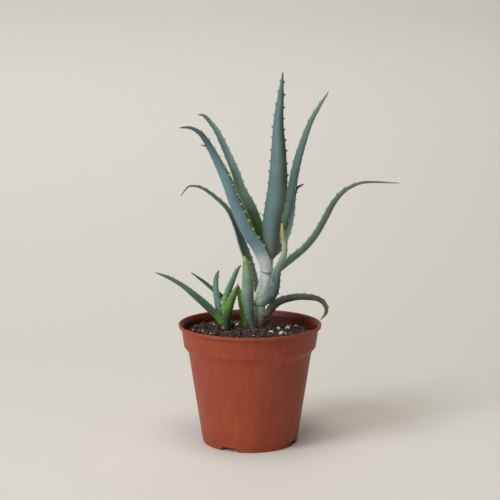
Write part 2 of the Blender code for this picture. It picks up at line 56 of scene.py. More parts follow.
RIM_RADIUS = (POT_HIGH.x - POT_LOW.x) / 2
POT_HEIGHT = POT_HIGH.z

# ---- the part's own sizes, in metres ----
WALL = 0.0014
LIP_HEIGHT = 0.0030
LIP_PROUD = 0.0026
LIP_EDGE = 0.0013
BAND_HEIGHT = 0.0180
EDGE = 0.0004
BAND_TAPER = 0.0024
SHOULDER_HEIGHT = 0.0046
SHOULDER_DEPTH = 0.0039
BASE_RADIUS = 0.0441
FOOT_HEIGHT = 0.0042
FOOT_STEP = 0.0005
FLOOR_RISE = 0.0062
FLOOR_FILLET = 0.0010
FOOT_THICKNESS = 0.0024
NOTCH_COUNT = 4
NOTCH_ANGLE = 22.0
NOTCH_HEIGHT = 0.0036
NOTCH_FIRST = -26.0
DRAIN_COUNT = 6
DRAIN_RADIUS = 0.0042
DRAIN_RING = 0.62
DRAIN_FIRST = 13.0
SOIL_BELOW_RIM = 0.0085
SOIL_MOUND = 0.0035
MOUND_PLACE = (0.10, 0.15)
MOUND_SPREAD = 0.45
MOUND_MEAN = 0.35
SOIL_TILT = 0.0016
SOIL_LUMPS = 0.00066
SHORT_LUMPS = (0.0047, 0.0053)
LONG_LUMPS = (0.0081, 0.0067)
CLEARANCE = 0.0003
STEM_HEIGHT = 0.074
STEM_BURIED = 0.012
OFFSET_HEIGHT = 0.014
LEAF_BACK = 0.44
LEAF_CHANNEL = 0.13
RIM_OVERHANG = 0.0080

SOIL_LEVEL = POT_HEIGHT - SOIL_BELOW_RIM
BAND_RADIUS = RIM_RADIUS - LIP_PROUD
BAND_TOP = POT_HEIGHT - LIP_HEIGHT
BAND_BOTTOM = BAND_TOP - BAND_HEIGHT
WALL_TOP = BAND_BOTTOM - SHOULDER_HEIGHT
WALL_RADIUS = BAND_RADIUS - BAND_TAPER - SHOULDER_DEPTH
FLOOR_TOP = FLOOR_RISE + WALL

MAIN_STEM = [(9, 14, 0.0), (9, 14, 0.28), (11, 14, 0.46), (14, 14, 0.62), (16, 14, 0.84), (18, 14, 1.0)]
OFFSET_STEM = [(-22, 8, 0.0), (-22, 8, 0.5), (-22, 8, 1.0)]

# Leaves: share of the stem's height, where the channelled face looks, and points in millimetres
# (right, back, up, width) from the node on the stem.
MAIN_LEAVES = {
    "leaf_upper_right": (0.95, (-0.7, -0.7, 0.0), [
        (2.5, 2.5, -1, 8), (6.5, 6, 9, 9), (13, 8, 26, 10), (18.5, 10, 48, 10), (24, 11.5, 77, 9.4),
        (29.5, 12.5, 97, 7.8), (37.5, 14, 119, 5.8), (46, 15, 134, 3.8), (54.5, 16, 147, 0.8)]),
    "leaf_back_right": (0.93, (-0.3, -1.0, 0.1), [
        (3.5, 4.5, -1, 6), (10, 8, 7, 8.5), (16, 11, 21, 9.5), (19.5, 13, 38, 9.2), (22, 14, 53, 6.4),
        (26, 15, 60, 3), (33, 16, 64, 0.8)]),
    "leaf_back_left": (0.90, (0.6, -0.8, 0.2), [
        (-1.5, 4, -3, 7), (-5, 6.5, 5, 8.5), (-17, 14, 28, 9.8), (-31.5, 22, 60, 8),
        (-44.5, 27, 85, 6), (-54, 30, 98, 3.6), (-63, 32, 101, 0.8)]),
    "leaf_upright_front": (0.93, (0.1, 1.0, 0.0), [
        (0.5, -3.5, -1, 10), (1.5, -5.5, 5, 13.5), (2, -9, 18, 15.4), (3.2, -11, 35, 17),
        (7.4, -13, 61, 17.8), (8.4, -14, 89, 14.4), (8.2, -14, 121, 9.2), (10, -13, 143, 5.8),
        (12, -11, 166, 0.9)]),
    "leaf_channelled_left": (0.90, (0.55, -0.85, 0.1), [
        (1, 3.5, -3, 7), (1.5, 5.5, 7, 10), (-6, 8, 20.5, 11.5), (-16, 13, 45, 11.2),
        (-24.8, 16, 61.5, 10), (-31.3, 19, 80, 8.4), (-45.5, 25, 111, 6), (-52, 27, 120.5, 4.8),
        (-59, 29, 128, 3.6), (-65.5, 30, 129, 0.8)]),
    "leaf_front_left": (0.80, (0.45, 0.85, 0.3), [
        (-0.5, -3.5, -4.5, 11.8), (-0.5, -5, 0, 12.2), (-3, -8.5, 8, 13), (-8, -12, 19, 13.3),
        (-18, -18, 35, 12.6), (-27, -23, 55, 11.6), (-35, -28, 77, 10), (-43.5, -31, 97, 8.6),
        (-53.5, -34, 115.5, 6.2), (-60, -36, 123.5, 5), (-68, -38, 127.5, 3.4), (-77, -40, 127.5, 1.4)]),
    "leaf_arching_right": (0.68, (-0.55, 0.8, 0.35), [
        (4, -2.5, 0, 7.4), (8.5, -4.5, 5, 8.4), (14, -6, 9.5, 8.8), (23.5, -10, 18, 8.5),
        (34.5, -14, 28, 7.9), (43.5, -18, 39.5, 7.5), (51.5, -21, 54, 7), (59, -25, 69, 6.2),
        (68.5, -28, 80.5, 5), (81, -33, 87.5, 3.7), (93.5, -36, 89, 2.8), (116, -44, 88.5, 0.8)]),
    "leaf_curled_left": (0.48, (0.75, -0.65, 0.1), [
        (-4, 1, 0, 8), (-7, 3, 9, 10), (-12, 5, 26, 11), (-18, 7, 43, 10), (-24, 9, 60, 7.6),
        (-32, 11, 75, 5.6), (-45, 13, 87, 4.4), (-55, 14, 93.5, 3.5), (-63, 15, 95.5, 2.8),
        (-69, 16, 94, 2.1), (-76, 17, 85, 0.8)]),
    "leaf_sweeping_front": (0.30, (0.3, 0.9, 0.3), [
        (-4, -3, 1, 6), (-2.5, -5.5, 3.5, 8), (1.5, -7.5, 5, 9.8), (6.5, -9, 8, 10.6),
        (11, -10.5, 13, 10.4), (13.5, -12, 20.5, 8.8), (14.7, -13, 28, 7.2), (16.2, -14, 35.5, 6.2),
        (19, -16, 43, 5.6), (21.5, -18, 50.5, 5.2), (21.8, -20, 58, 4.9), (20.3, -21, 66, 4.5),
        (19, -22, 79, 0.8)]),
    "leaf_low_front": (0.0, (0.2, 1.0, 0.1), [
        (-4.5, -7, -3, 4), (-8.2, -9, 12, 7.4), (-11, -11, 30, 11.2), (-11, -13, 45, 10.4),
        (-11.5, -14, 57, 8.2), (-13, -14, 65, 5.4), (-14.5, -14, 70.5, 0.8)]),
}
OFFSET_LEAVES = {
    "offset_leaf_inner": (0.8, (0.3, -0.9, 0.2), [
        (1, 2, 2, 6), (-2.5, 5, 17, 4.8), (-9, 6.5, 23, 4), (-20.5, 8.5, 32.5, 3),
        (-32.5, 10, 41, 0.8)]),
    "offset_leaf_back_left": (0.6, (0.4, 0.7, 0.2), [
        (-3, 0, 0, 6), (-6, 1, 10, 7), (-9, 3.5, 27, 6), (-9, 4.5, 37, 5), (-8, 5, 42.5, 3.6),
        (-6, 5, 47, 0.8)]),
    "offset_leaf_right": (0.55, (-0.6, 0.6, 0.2), [
        (1.5, -2, 0, 6), (-1, -2, 15, 8), (0.8, -1, 26, 7.8), (5.8, -1, 39, 6.2), (10, 0, 48, 4.4),
        (14, 0, 53.5, 0.8)]),
    "offset_leaf_long_left": (0.4, (0.35, 0.75, 0.5), [
        (-3, -1, 1, 6.6), (-8, -2, 8.5, 8), (-17, -5, 18.5, 8.6), (-28, -8, 29, 7.6),
        (-39.5, -10, 38.5, 5.5), (-52, -12, 46, 4), (-64, -13, 50.5, 0.9)]),
    "offset_leaf_front": (0.2, (-0.2, 0.9, 0.1), [
        (0.5, -2.8, -1, 5.5), (1.7, -7, 14.5, 7.8), (4.7, -8, 26, 7.2), (8.8, -9, 35.7, 5),
        (11.4, -9, 41, 0.9)]),
}
REAR_LEAF = ((-5, 18), (0.2, -1.0, 0.1), [
    (0, 0, -4, 4.5), (-1, 0, 12, 5.8), (-3.2, 0, 25, 5.6), (-4.8, 0, 34, 4.4), (-6.7, -1, 42, 0.8)])

# The leaf that bends down outside the lip: right as a share of its reach, back in millimetres from
# the node, up in millimetres from the lip, and width.
DROOPING_NODE = 0.16
DROOPING_FACE = (-0.1, 0.55, 0.85)
DROOPING_BEND = 9
DROOPING_LEAF = [
    (0.06, 0, 4, 7.5), (0.13, 0, 8.7, 9.5), (0.22, 0, 15.2, 10.2), (0.345, 1, 19.2, 9.6),
    (0.57, 3, 21.6, 8.4), (0.755, 4.5, 21, 7.6), (0.89, 6.5, 18.7, 6.2), (0.985, 8, 14.5, 5),
    (1.03, 9, 8.3, 3.9), (1.01, 9.3, 3.3, 2.9), (0.935, 9, -2.2, 0.8)]

# Stem radii: share of the stem's height, millimetres.
MAIN_GIRTH = [(-0.2, 2.3), (0.0, 2.3), (0.06, 3.2), (0.14, 4.5), (0.25, 5.3), (0.38, 5.9), (0.47, 6.1),
              (0.52, 5.6), (0.74, 5.7), (0.88, 5.2), (1.0, 4.0)]
OFFSET_GIRTH = [(-0.9, 3.4), (1.0, 3.6)]
# Free edges of the sheaths: share of the height, degrees from the front where highest, slant.
MAIN_SHEATHS = [(0.10, 30, 0.05), (0.24, 200, 0.06), (0.40, 60, 0.07), (0.53, 250, 0.07), (0.66, 110, 0.06),
                (0.78, 300, 0.06), (0.90, 90, 0.05)]
OFFSET_SHEATHS = [(0.35, 40, 0.1), (0.7, 220, 0.1)]


def rgb(red, green, blue):
    """Linear colour from 0-255 screen values."""
    shares = (value / 255 for value in (red, green, blue))
    return tuple(v / 12.92 if v <= 0.04045 else ((v + 0.055) / 1.055) ** 2.4 for v in shares)


# ---- node helpers ----
class Nodes:
    """A short way of writing node trees."""

    def __init__(self, name):
        self.material = bpy.data.materials.new(name)
        self.material.use_nodes = True
        self.tree = self.material.node_tree
        self.shader = self.tree.nodes["Principled BSDF"]

    def add(self, kind, **inputs):
        node = self.tree.nodes.new(kind)
        for key, value in inputs.items():
            self.put(node.inputs[key], value)
        return node

    def put(self, socket, value):
        if isinstance(value, bpy.types.NodeSocket):
            self.tree.links.new(value, socket)
        elif socket.type == "RGBA" and len(value) == 3:
            socket.default_value = (*value, 1.0)
        else:
            socket.default_value = value

    def set(self, name, value):
        """Feeds one of the shader's own sockets."""
        self.put(self.shader.inputs[name], value)

    def times(self, a, b):
        return self.math("MULTIPLY", a, b)

    def plus(self, a, b):
        return self.math("ADD", a, b)

    def math(self, operation, a, b=0.0):
        node = self.tree.nodes.new("ShaderNodeMath")
        node.operation = operation
        self.put(node.inputs[0], a)
        self.put(node.inputs[1], b)
        return node.outputs[0]

    def mix(self, factor, a, b, blend="MIX"):
        node = self.tree.nodes.new("ShaderNodeMix")
        node.data_type = "RGBA"
        node.blend_type = blend
        self.put(node.inputs["Factor"], factor)
        self.put(node.inputs[6], a)
        self.put(node.inputs[7], b)
        return node.outputs[2]

    def ramp(self, factor, stops):
        """A colour ramp; a stop's value is a colour or one number."""
        node = self.tree.nodes.new("ShaderNodeValToRGB")
        while len(node.color_ramp.elements) < len(stops):
            node.color_ramp.elements.new(0.5)
        for element, (place, colour) in zip(node.color_ramp.elements, stops):
            element.position = place
            if not isinstance(colour, tuple):
                colour = (colour, colour, colour)
            element.color = (*colour, 1.0)
        self.put(node.inputs[0], factor)
        return node.outputs[0]

    def field(self, name):
        """A number stored on the mesh's points."""
        node = self.tree.nodes.new("ShaderNodeAttribute")
        node.attribute_name = name
        return node.outputs["Fac"]

    def vector(self, x, y, z):
        node = self.tree.nodes.new("ShaderNodeCombineXYZ")
        for socket, value in zip(node.inputs, (x, y, z)):
            self.put(socket, value)
        return node.outputs[0]

    def place(self, scale=(1.0, 1.0, 1.0)):
        """Object coordinates times a scale."""
        spot = self.tree.nodes.new("ShaderNodeTexCoord").outputs["Object"]
        node = self.tree.nodes.new("ShaderNodeMapping")
        self.put(node.inputs["Vector"], spot)
        node.inputs["Scale"].default_value = scale
        return node.outputs[0]

    def noise(self, vector, scale, detail=2.0, rough=0.5):
        node = self.add("ShaderNodeTexNoise", Vector=vector, Scale=scale, Detail=detail, Roughness=rough)
        return node.outputs["Fac"]

    def dots(self, vector, scale):
        """Distance to scattered points."""
        return self.add("ShaderNodeTexVoronoi", Vector=vector, Scale=scale).outputs["Distance"]

    def bump(self, height, distance, strength=1.0, under=None):
        node = self.add("ShaderNodeBump", Height=height, Distance=distance, Strength=strength)
        if under is not None:
            self.put(node.inputs["Normal"], under)
        return node.outputs[0]


# ---- geometry helpers ----
def dense_path(knots, fine=24):
    """A Catmull-Rom curve through the knots as rows of x, y, z, width, with its lengths."""
    rows = np.array(knots, float)
    ends = np.vstack([2 * rows[0] - rows[1], rows, 2 * rows[-1] - rows[-2]])
    out = [rows[0]]
    for i in range(1, len(rows)):
        a, b, c, d = ends[i - 1], ends[i], ends[i + 1], ends[i + 2]
        for j in range(1, fine + 1):
            t = j / fine
            out.append(0.5 * (2 * b + (c - a) * t + (2 * a - 5 * b + 4 * c - d) * t ** 2
                              + (3 * b - a - 3 * c + d) * t ** 3))
    dense = np.array(out)
    steps = np.linalg.norm(np.diff(dense[:, :3], axis=0), axis=1)
    return dense, np.concatenate([[0.0], np.cumsum(steps)])


def path_at(dense, lengths, where):
    """Rows of a dense path at distances from its start."""
    return np.array([np.interp(where, lengths, dense[:, k]) for k in range(dense.shape[1])]).T


def tube_faces(rings, around, first=0):
    """Quads between rings of points, the first ring starting at a vertex number."""
    faces = []
    for i in range(rings - 1):
        low, high = first + i * around, first + (i + 1) * around
        for j in range(around):
            k = (j + 1) % around
            faces.append((low + j, low + k, high + k, high + j))
    return faces


def piece(name, mesh, surface, smooth=True):
    """A mesh as a piece that rides the only body."""
    mesh.materials.append(surface)
    if smooth:
        mesh.shade_smooth()
    made = bpy.data.objects.new(name, mesh)
    bpy.context.scene.collection.objects.link(made)
    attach(made, "root")
    return made


def mesh_object(name, verts, faces, surface, fields=None):
    """A piece from points and faces, with numbers stored on its points for the shader."""
    mesh = bpy.data.meshes.new(name)
    mesh.from_pydata([tuple(v) for v in verts], [], faces)
    for key, values in (fields or {}).items():
        attribute = mesh.attributes.new(key, "FLOAT", "POINT")
        attribute.data.foreach_set("value", np.asarray(values, np.float32))
    mesh.validate()
    return piece(name, mesh, surface)


def stem_node(points, height, share):
    """The point on a stem's line at a share of its height, from the pot's axis."""
    x, y = (float(np.interp(share, [p[2] for p in points], [p[i] for p in points])) for i in (0, 1))
    return Vector((x * MM, y * MM, SOIL_LEVEL + share * height))


def leaf_rows(origin, points):
    """Knots in the row frame, in metres: x, y, z, width."""
    start = AXIS + origin
    return [(start.x + x * MM, start.y + y * MM, start.z + z * MM, w * MM) for x, y, z, w in points]


def drooping_rows():
    """Knots of the leaf that bends down outside the lip, tied to the rim's radius."""
    origin = stem_node(MAIN_STEM, STEM_HEIGHT, DROOPING_NODE)
    back = origin.y + DROOPING_BEND * MM
    reach = math.sqrt((RIM_RADIUS + RIM_OVERHANG) ** 2 - back ** 2) - origin.x
    start = AXIS + origin
    return [(start.x + reach * share, start.y + y * MM, POT_HEIGHT + z * MM, w * MM)
            for share, y, z, w in DROOPING_LEAF]


# ---- leaves ----
BACK_TURNS = (0, 7, 18, 33, 52, 71, 90, 109, 128, 147, 162, 173, 180)
BACK_LIFT = (1.0, 0.42, 0.10)               # share of a tooth carried by the back, from the margin in
FACE_ACROSS = (-0.965, -0.87, -0.7, -0.45, -0.2, 0.0, 0.2, 0.45, 0.7, 0.87, 0.965)
FACE_LIFT = {0.965: 0.45, 0.87: 0.12}       # the same for the face
RING_STEP = 0.0013
TOOTH_BASE = (-1.0, -0.6, -0.25, 0.1, 0.5, 1.0)
TOOTH_RISE = (0.0, 0.22, 0.72, 1.0, 0.34, 0.0)
TOOTH_REACH = 0.78          # half of a tooth's footing, share of its height
TOOTH_SWEEP = 0.55          # how far a tooth leans to the leaf's tip, share of its height
TOOTH_TILT = 0.18           # and towards the face
TOOTH_PHASES = (0.2, 0.7)   # so that the two margins' teeth aren't opposite each other
SLIM = 0.004                # teeth shrink where the leaf is narrower than this
TANGENT_STEP = 0.0007
BACK_RIPPLE = 0.00012
FACE_RIPPLE = 0.0001


def leaf_section():
    """Points round a leaf: across, depth, 1 on the face, which margin, share of its tooth."""
    points = []
    last = len(BACK_TURNS) - 1
    for k, degrees in enumerate(BACK_TURNS):
        turn = math.radians(degrees)
        near = min(k, last - k)
        lift = BACK_LIFT[near] if near < len(BACK_LIFT) else 0.0
        margin = 0 if k < last / 2 else 1
        points.append((math.cos(turn), math.sin(turn), 0.5 if near == 0 else 0.0, margin, lift))
    for across in FACE_ACROSS:
        lift = FACE_LIFT.get(abs(across), 0.0)
        points.append((across, 1 - across ** 2, 1.0, 0 if across > 0 else 1, lift))
    return points


LEAF_SECTION = leaf_section()


def tooth_places(length, pitch, first, last, phase, dice):
    """Teeth along one margin: metres from the base, and a share of the usual size."""
    places = []
    at = first * length + pitch * phase
    while at < last * length:
        places.append((at, dice.uniform(0.8, 1.15)))
        at += pitch * dice.uniform(0.88, 1.12)
    return places


def ring_places(length, teeth):
    """Where the leaf's rings go: even steps, closer at the teeth."""
    marks = sorted(m for at, size in teeth for b in TOOTH_BASE
                   if 0.0005 < (m := at + size * TOOTH_REACH * b) < length - 0.0005)
    nearest = np.array(marks)
    steps = [w for w in np.arange(0, length - 0.0008, RING_STEP) if np.abs(nearest - w).min() > 0.0004]
    kept = []
    for mark in sorted(steps + marks):
        if not kept or mark - kept[-1] > 0.00012:
            kept.append(mark)
    return np.array(kept)


def add_leaf(name, rows, face, surface, slot, seed, pitch, tooth, first, last, channel=1.0):
    """A leaf as one closed skin: a round back, a channelled face and toothed margins."""
    dice = random.Random(seed * 7 + 3)
    dense, lengths = dense_path(rows)
    length = lengths[-1]
    teeth = []
    for phase in TOOTH_PHASES:
        places = tooth_places(length, pitch * MM, first, last, phase, dice)
        teeth.append([(at, size * tooth * MM) for at, size in places])
    where = ring_places(length, teeth[0] + teeth[1])
    spots = path_at(dense, lengths, where)
    ahead = path_at(dense, lengths, np.minimum(where + TANGENT_STEP, length))[:, :3]
    behind = path_at(dense, lengths, np.maximum(where - TANGENT_STEP, 0))[:, :3]
    tangents = ahead - behind
    tangents /= np.linalg.norm(tangents, axis=1)[:, None]

    verts = []
    fields = {"across": [], "along": [], "face": [], "tooth": []}
    normal = np.array(face, float)
    offset = Vector((seed * 3.7, seed * 1.3, 0.0))
    for at, spot, along in zip(where, spots, tangents):
        normal = normal - along * normal.dot(along)
        normal /= np.linalg.norm(normal)
        side = np.cross(along, normal)
        width = spot[3]
        swell = noise.noise(Vector((at / 0.021, 0, 0)) + offset)
        back = width * LEAF_BACK * (1 + 0.06 * swell)
        sink = noise.noise(Vector((0, at / 0.016, 5)) + offset)
        deep = width * LEAF_CHANNEL * channel * (1 + 0.25 * sink)
        shrink = min(1.0, width / SLIM)
        rise = [0.0, 0.0]
        for margin in (0, 1):
            for middle, size in teeth[margin]:
                local = (at - middle) / (size * TOOTH_REACH)
                if -1.01 < local < 1.01:
                    high = size * shrink * float(np.interp(local, TOOTH_BASE, TOOTH_RISE))
                    rise[margin] = max(rise[margin], high)
        for across, depth, on_face, margin, share in LEAF_SECTION:
            a = width / 2 * across
            lift = rise[margin] * share
            if on_face == 1.0:
                b = -deep * depth
                ripple = FACE_RIPPLE * noise.noise(Vector((at / 0.007, a / 0.002, 9)) + offset)
            else:
                b = -back * depth
                ripple = -BACK_RIPPLE * noise.noise(Vector((at / 0.006, a / 0.0025, b / 0.0025)) + offset)
            out = lift if margin == 0 else -lift
            above = b + TOOTH_TILT * lift + ripple
            verts.append(spot[:3] + side * (a + out) + normal * above + along * lift * TOOTH_SWEEP)
            for key, value in zip(fields, (across, at / length, on_face, lift / (tooth * MM))):
                fields[key].append(value)
    rings, count = len(where), len(LEAF_SECTION)
    faces = tube_faces(rings, count)
    tip = len(verts)
    verts.append(dense[-1][:3])
    for key, value in zip(fields, (0.0, 1.0, 0.5, 0.0)):
        fields[key].append(value)
    edge = (rings - 1) * count
    faces += [(edge + j, edge + (j + 1) % count, tip) for j in range(count)]
    faces.append(tuple(range(count - 1, -1, -1)))
    made = mesh_object(name + "_skin", verts, faces, surface, fields)
    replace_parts(made, name)


LEAF_TONE = (0.97, 1.0, 1.0)    # takes a little red out of every leaf colour


def toned(colour):
    """A leaf colour as linear light."""
    return tuple(part * tone for part, tone in zip(rgb(*colour), LEAF_TONE))


def leaf_material(name, seed, stops, bloom, margin=(140, 158, 132), tooth=(172, 182, 146), speckle=0.0,
                  face_tint_and_shade=(0.75, 0.92, 0.7), mottle=1.0, rim=0.955, painted_shade_side=None):
    """Leaf skin: colour by the length, a pale horny margin, mottling, bloom, fine striation and painted shade
    on one side.
    """
    n = Nodes(name)
    along = n.field("along")
    across = n.field("across")
    face = n.field("face")
    prickle = n.field("tooth")
    here = n.place()
    strand = n.vector(n.times(across, 5.0), n.times(along, 3.0), seed)
    base = n.ramp(along, [(place, toned(colour)) for place, colour in stops])
    # broad mottling and lengthwise streaks
    cloud = n.noise(here, 95.0, 3.0, 0.6)
    streak = n.noise(strand, 3.2, 4.0, 0.65)
    tone = n.plus(n.times(cloud, 0.55), n.times(streak, 0.45))
    tone = n.ramp(tone, [(0.30, 1 - 0.14 * mottle), (0.50, 1.0), (0.72, 1 + 0.13 * mottle)])
    base = n.mix(1.0, base, tone, "MULTIPLY")
    # painted shade: the leaf's side towards one margin is multiplied by a darker tint, as if turned from the
    # light
    if painted_shade_side:
        towards, tint = painted_shade_side
        turned = n.ramp(n.times(across, towards), [(0.0, 0.0), (0.75, 1.0)])
        base = n.mix(turned, base, n.mix(1.0, base, tint, "MULTIPLY"))
    # the face's tint: a darker, greener colour of its own, and on the curled leaf deep painted shade
    tinted = n.mix(1.0, base, face_tint_and_shade, "MULTIPLY")
    base = n.mix(n.ramp(face, [(0.45, 0.0), (0.55, 1.0)]), base, tinted)
    # waxy bloom, thicker on the back and in patches
    patches = n.noise(here, 55.0, 2.0, 0.5)
    wax = n.plus(n.times(patches, 0.6), n.times(streak, 0.4))
    wax = n.ramp(wax, [(0.30, 0.25), (0.70, 1.0)])
    wax = n.times(wax, bloom)
    base = n.mix(wax, base, toned((136, 164, 174)))
    if speckle > 0:
        spots = n.dots(here, 520.0)
        mask = n.ramp(spots, [(0.10, 1.0), (0.22, 0.0)])
        chance = n.ramp(n.noise(here, 160.0, 2.0), [(0.46, 0.0), (0.60, 1.0)])
        mask = n.times(n.times(mask, chance), speckle)
        base = n.mix(mask, base, rgb(196, 208, 190))
    # margin line and teeth
    edge = n.math("ABSOLUTE", across)
    edge = n.ramp(edge, [(rim, 0.0), (0.995, 1.0)])
    base = n.mix(n.times(edge, 0.55), base, rgb(*margin))
    base = n.mix(n.ramp(prickle, [(0.06, 0.0), (0.45, 1.0)]), base, rgb(*tooth))
    n.set("Base Color", base)
    gloss = n.plus(0.39, n.times(wax, 0.22))
    gloss = n.plus(gloss, n.times(streak, 0.10))
    n.set("Roughness", gloss)
    thread = n.vector(n.times(across, 26.0), n.times(along, 7.0), seed)
    fine = n.noise(thread, 2.4, 3.0, 0.6)
    grain = n.noise(here, 900.0, 2.0, 0.5)
    relief = n.bump(fine, 0.00022, 0.55)
    relief = n.bump(grain, 0.00008, 0.5, relief)
    n.set("Normal", relief)
    n.set("Subsurface Weight", 0.06)
    n.set("Subsurface Radius", (0.4, 1.0, 0.35))
    n.set("Subsurface Scale", 0.0016)
    n.set("Specular IOR Level", 0.42)
    return n.material


# Shape: spacing and height of the teeth in millimetres, first and last tooth as a share of the length,
# and the channel's depth if it isn't the usual one. Stops: colours by the share of the length.
# Painted shade side: a margin's sign and the tint of the painted shade on the leaf's side towards it.
LOOKS = {
    # painted shade: one side of this leaf is tinted darker
    "leaf_upright_front": dict(shape=(10.2, 1.9, 0.16, 0.96), stops=[(0, (120, 124, 84)),
        (0.05, (108, 127, 99)), (0.16, (87, 112, 106)), (0.6, (85, 109, 111)), (0.92, (74, 98, 92)),
        (1, (66, 84, 62))], bloom=0.34, tooth=(128, 142, 120), painted_shade_side=(-1, (0.56, 0.44, 0.34))),
    # painted shade: one side of this leaf is tinted darker
    "leaf_upper_right": dict(shape=(10.0, 1.9, 0.14, 0.93), stops=[(0, (104, 136, 90)),
        (0.14, (88, 122, 84)), (0.28, (86, 111, 105)), (0.75, (84, 107, 103)), (0.9, (72, 96, 80)),
        (0.97, (66, 84, 60)), (1, (120, 116, 70))], bloom=0.3, painted_shade_side=(1, (0.42, 0.46, 0.44))),
    # painted light: the middle of this leaf is near white, lifting it out of the shade of the leaves in front
    "leaf_back_right": dict(shape=(8.0, 1.3, 0.2, 0.85), stops=[(0, (176, 200, 190)), (0.3, (212, 242, 255)),
        (0.7, (206, 236, 250)), (0.8, (126, 146, 136)), (1, (62, 72, 60))], bloom=0.0,
        face_tint_and_shade=(1.0, 1.0, 1.0)),
    "leaf_back_left": dict(shape=(9.0, 1.3, 0.15, 0.9), stops=[(0, (90, 120, 60)), (0.4, (80, 106, 74)),
        (0.85, (74, 98, 70)), (1, (70, 84, 50))], bloom=0.12),
    "leaf_channelled_left": dict(shape=(8.4, 1.9, 0.12, 0.92, 1.25), stops=[(0, (64, 98, 24)),
        (0.22, (55, 86, 22)), (0.3, (66, 92, 50)), (0.4, (108, 130, 122)), (0.6, (122, 143, 145)),
        (0.85, (120, 141, 147)), (0.96, (92, 112, 92)), (1, (110, 116, 80))], bloom=0.06, mottle=1.8,
        rim=0.8, margin=(120, 152, 78), tooth=(196, 204, 128), face_tint_and_shade=(0.88, 0.9, 0.9)),
    "leaf_front_left": dict(shape=(9.0, 1.9, 0.12, 0.92), stops=[(0, (120, 150, 120)),
        (0.008, (244, 250, 246)), (0.08, (232, 242, 238)), (0.14, (155, 180, 183)), (0.22, (105, 136, 149)),
        (0.64, (99, 130, 143)), (0.76, (74, 98, 104)), (0.86, (56, 74, 72)), (0.95, (56, 70, 56)),
        (1, (88, 88, 62))], bloom=0.34),
    "leaf_arching_right": dict(shape=(8.6, 1.8, 0.12, 0.8), stops=[(0, (196, 212, 192)),
        (0.08, (120, 144, 130)), (0.2, (86, 104, 97)), (0.6, (90, 107, 99)), (0.76, (96, 111, 96)),
        (0.86, (84, 104, 68)), (1, (84, 98, 52))], bloom=0.12, mottle=2.0),
    # painted shade: the very dark face tint stands for the shade inside this leaf's curl
    "leaf_curled_left": dict(shape=(7.6, 1.6, 0.1, 0.88, 1.4), stops=[(0, (226, 236, 212)),
        (0.1, (196, 212, 188)), (0.2, (165, 187, 168)), (0.3, (142, 167, 163)), (0.7, (139, 163, 148)),
        (0.88, (118, 142, 90)), (1, (120, 124, 66))], bloom=0.15, mottle=1.6, face_tint_and_shade=(0.25, 0.26, 0.24)),
    "leaf_sweeping_front": dict(shape=(6.0, 1.3, 0.14, 0.9), stops=[(0, (226, 238, 228)),
        (0.06, (190, 208, 194)), (0.12, (122, 146, 138)), (0.2, (78, 102, 102)), (0.4, (80, 102, 97)),
        (0.58, (130, 148, 132)), (0.74, (168, 178, 158)), (0.88, (150, 160, 96)), (1, (214, 200, 90))],
        bloom=0.08, mottle=2.2, speckle=1.0),
    # painted shade: one side of this leaf is tinted darker
    "leaf_low_front": dict(shape=(4.5, 1.4, 0.14, 0.92), stops=[(0, (72, 88, 78)), (0.14, (86, 102, 98)),
        (0.32, (122, 140, 136)), (0.55, (138, 158, 152)), (0.78, (130, 150, 122)), (0.92, (136, 154, 88)),
        (1, (200, 194, 84))], bloom=0.06, mottle=3.0, speckle=1.0, rim=0.88, margin=(182, 190, 132),
        tooth=(214, 216, 170), painted_shade_side=(-1, (0.72, 0.74, 0.56))),
    "leaf_drooping_right": dict(shape=(6.7, 1.5, 0.1, 0.88), stops=[(0, (150, 170, 142)),
        (0.1, (96, 108, 94)), (0.3, (88, 96, 88)), (0.7, (88, 96, 79)), (0.84, (84, 104, 62)),
        (0.93, (74, 104, 40)), (1, (112, 124, 50))], bloom=0.08, mottle=2.6, speckle=0.7,
        margin=(130, 142, 104)),
    "offset_leaf_inner": dict(shape=(4.6, 0.9, 0.3, 0.85), stops=[(0, (96, 138, 52)), (0.3, (78, 104, 70)),
        (1, (56, 74, 50))], bloom=0.1),
    "offset_leaf_back_left": dict(shape=(4.4, 1.1, 0.25, 0.88), stops=[(0, (104, 146, 60)),
        (0.25, (104, 134, 124)), (0.7, (104, 130, 122)), (0.88, (78, 98, 76)), (1, (60, 76, 48))],
        bloom=0.2),
    "offset_leaf_right": dict(shape=(4.6, 1.1, 0.22, 0.9), stops=[(0, (124, 170, 44)),
        (0.35, (116, 158, 60)), (0.55, (100, 134, 108)), (0.9, (98, 128, 118)), (1, (150, 150, 60))],
        bloom=0.15, speckle=0.4),
    "offset_leaf_long_left": dict(shape=(4.8, 1.2, 0.16, 0.9), stops=[(0, (124, 172, 28)),
        (0.1, (112, 160, 36)), (0.2, (88, 122, 62)), (0.32, (76, 102, 84)), (0.9, (76, 98, 86)),
        (1, (88, 92, 52))], bloom=0.2, speckle=0.35),
    # painted shade: one side of this leaf is tinted darker
    "offset_leaf_front": dict(shape=(4.4, 1.1, 0.25, 0.9), stops=[(0, (76, 96, 72)), (0.22, (68, 94, 62)),
        (0.45, (84, 124, 52)), (0.8, (98, 140, 50)), (0.93, (78, 104, 44)), (1, (150, 150, 60))], bloom=0.05,
        speckle=0.4, face_tint_and_shade=(0.8, 0.95, 0.7), painted_shade_side=(-1, (0.55, 0.62, 0.6))),
    "offset_leaf_rear": dict(shape=(4.6, 0.8, 0.3, 0.88), stops=[(0, (120, 164, 50)), (0.6, (104, 150, 56)),
        (1, (150, 156, 60))], bloom=0.05),
}


